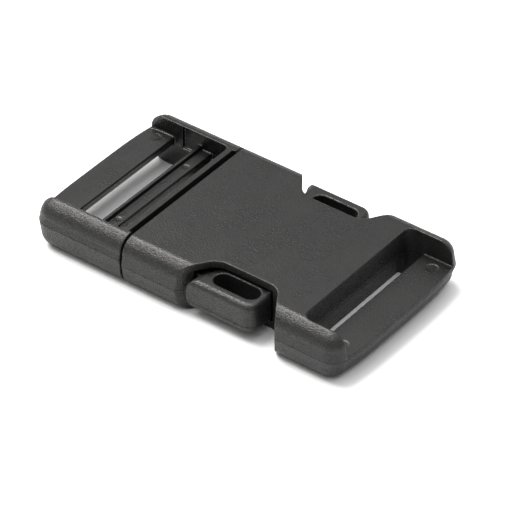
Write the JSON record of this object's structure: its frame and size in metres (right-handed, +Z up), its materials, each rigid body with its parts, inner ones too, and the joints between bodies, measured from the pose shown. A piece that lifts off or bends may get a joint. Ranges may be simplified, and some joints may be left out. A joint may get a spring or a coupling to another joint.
{
  "type": "side-release buckle",
  "caption": "Side-release webbing buckle in black moulded plastic: a socket with an end bar, and a plug with sprung latch arms and an adjuster bar.",
  "frame": {"origin": "under the middle of the closed buckle, on its flat underside", "axes": "+X from the plug towards the socket, +Y across the buckle, +Z up out of its face"},
  "size_m": [0.06, 0.0324, 0.0085],
  "materials": {
    "moulded_plastic": "black, fine spark-eroded mould texture"
  },
  "bodies": {
    "socket": {"socket_body": "moulded_plastic"},
    "plug": {"plug_frame": "moulded_plastic"},
    "arm_left": {"latch_arm_left": "moulded_plastic"},
    "arm_right": {"latch_arm_right": "moulded_plastic"}
  },
  "joints": [
    {"name": "plug_release", "type": "slide", "parent": "socket", "child": "plug", "axis": [-1, 0, 0], "range_m": [0, 0.03], "deforming": ["latch_arm_left", "latch_arm_right"]},
    {"name": "arm_left_squeeze", "type": "hinge", "parent": "plug", "child": "arm_left", "pos_m": [-0.01203, 0.01165, 0.0043], "axis": [0, 0, -1], "range_deg": [0, 10], "stiffness_Nm_per_rad": 0.6},
    {"name": "arm_right_squeeze", "type": "hinge", "parent": "plug", "child": "arm_right", "pos_m": [-0.01203, -0.01165, 0.0043], "axis": [0, 0, 1], "range_deg": [0, 10], "stiffness_Nm_per_rad": 0.6}
  ]
}
